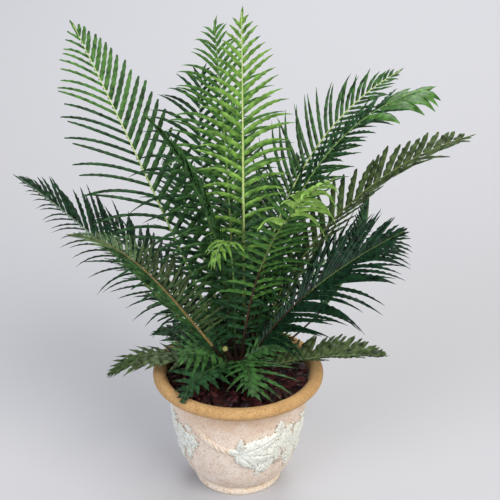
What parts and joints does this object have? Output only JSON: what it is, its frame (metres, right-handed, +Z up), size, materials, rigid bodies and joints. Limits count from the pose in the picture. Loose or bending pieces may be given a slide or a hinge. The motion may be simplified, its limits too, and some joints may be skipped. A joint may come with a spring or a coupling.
{
  "type": "potted dwarf tree fern",
  "caption": "Potted dwarf tree fern: a short scaly trunk with a fountain of feathery arching fronds, in a round terracotta urn pot with a moulded garland and a rolled rim.",
  "frame": {"origin": "centre of the pot's flat underside", "axes": "+Z up along the pot's axis and the trunk, -Y towards the side that the picture shows"},
  "size_m": [0.6788, 0.4784, 0.7498],
  "materials": {
    "pot": "rough terracotta with worn limewash",
    "potting_mix": "moist bark and peat mix",
    "trunk": "dark fibrous scaly trunk",
    "young_fronds": "soft young leaf, light green",
    "grown_fronds": "satin leaf, mid green",
    "old_fronds": "satin leaf, dark blue-green",
    "low_fronds": "satin leaf, dark olive green"
  },
  "bodies": {
    "root": {"pot": "pot", "potting_mix": "potting_mix", "trunk": "trunk", "frond_inner_1": "young_fronds", "frond_inner_2": "young_fronds", "frond_inner_3": "young_fronds", "frond_inner_4": "young_fronds", "frond_inner_5": "young_fronds", "frond_middle_1": "grown_fronds", "frond_middle_2": "grown_fronds", "frond_middle_3": "grown_fronds", "frond_middle_4": "grown_fronds", "frond_middle_5": "grown_fronds", "frond_middle_6": "grown_fronds", "frond_middle_7": "grown_fronds", "frond_middle_8": "grown_fronds", "frond_middle_9": "grown_fronds", "frond_outer_1": "old_fronds", "frond_outer_2": "old_fronds", "frond_outer_3": "old_fronds", "frond_outer_4": "old_fronds", "frond_outer_5": "old_fronds", "frond_outer_6": "old_fronds", "frond_outer_7": "old_fronds", "frond_outer_8": "old_fronds", "frond_skirt_1": "low_fronds", "frond_skirt_2": "low_fronds", "frond_skirt_3": "low_fronds", "frond_skirt_4": "low_fronds", "frond_skirt_5": "low_fronds", "frond_skirt_6": "low_fronds", "frond_skirt_7": "low_fronds", "frond_skirt_8": "low_fronds"}
  },
  "joints": []
}
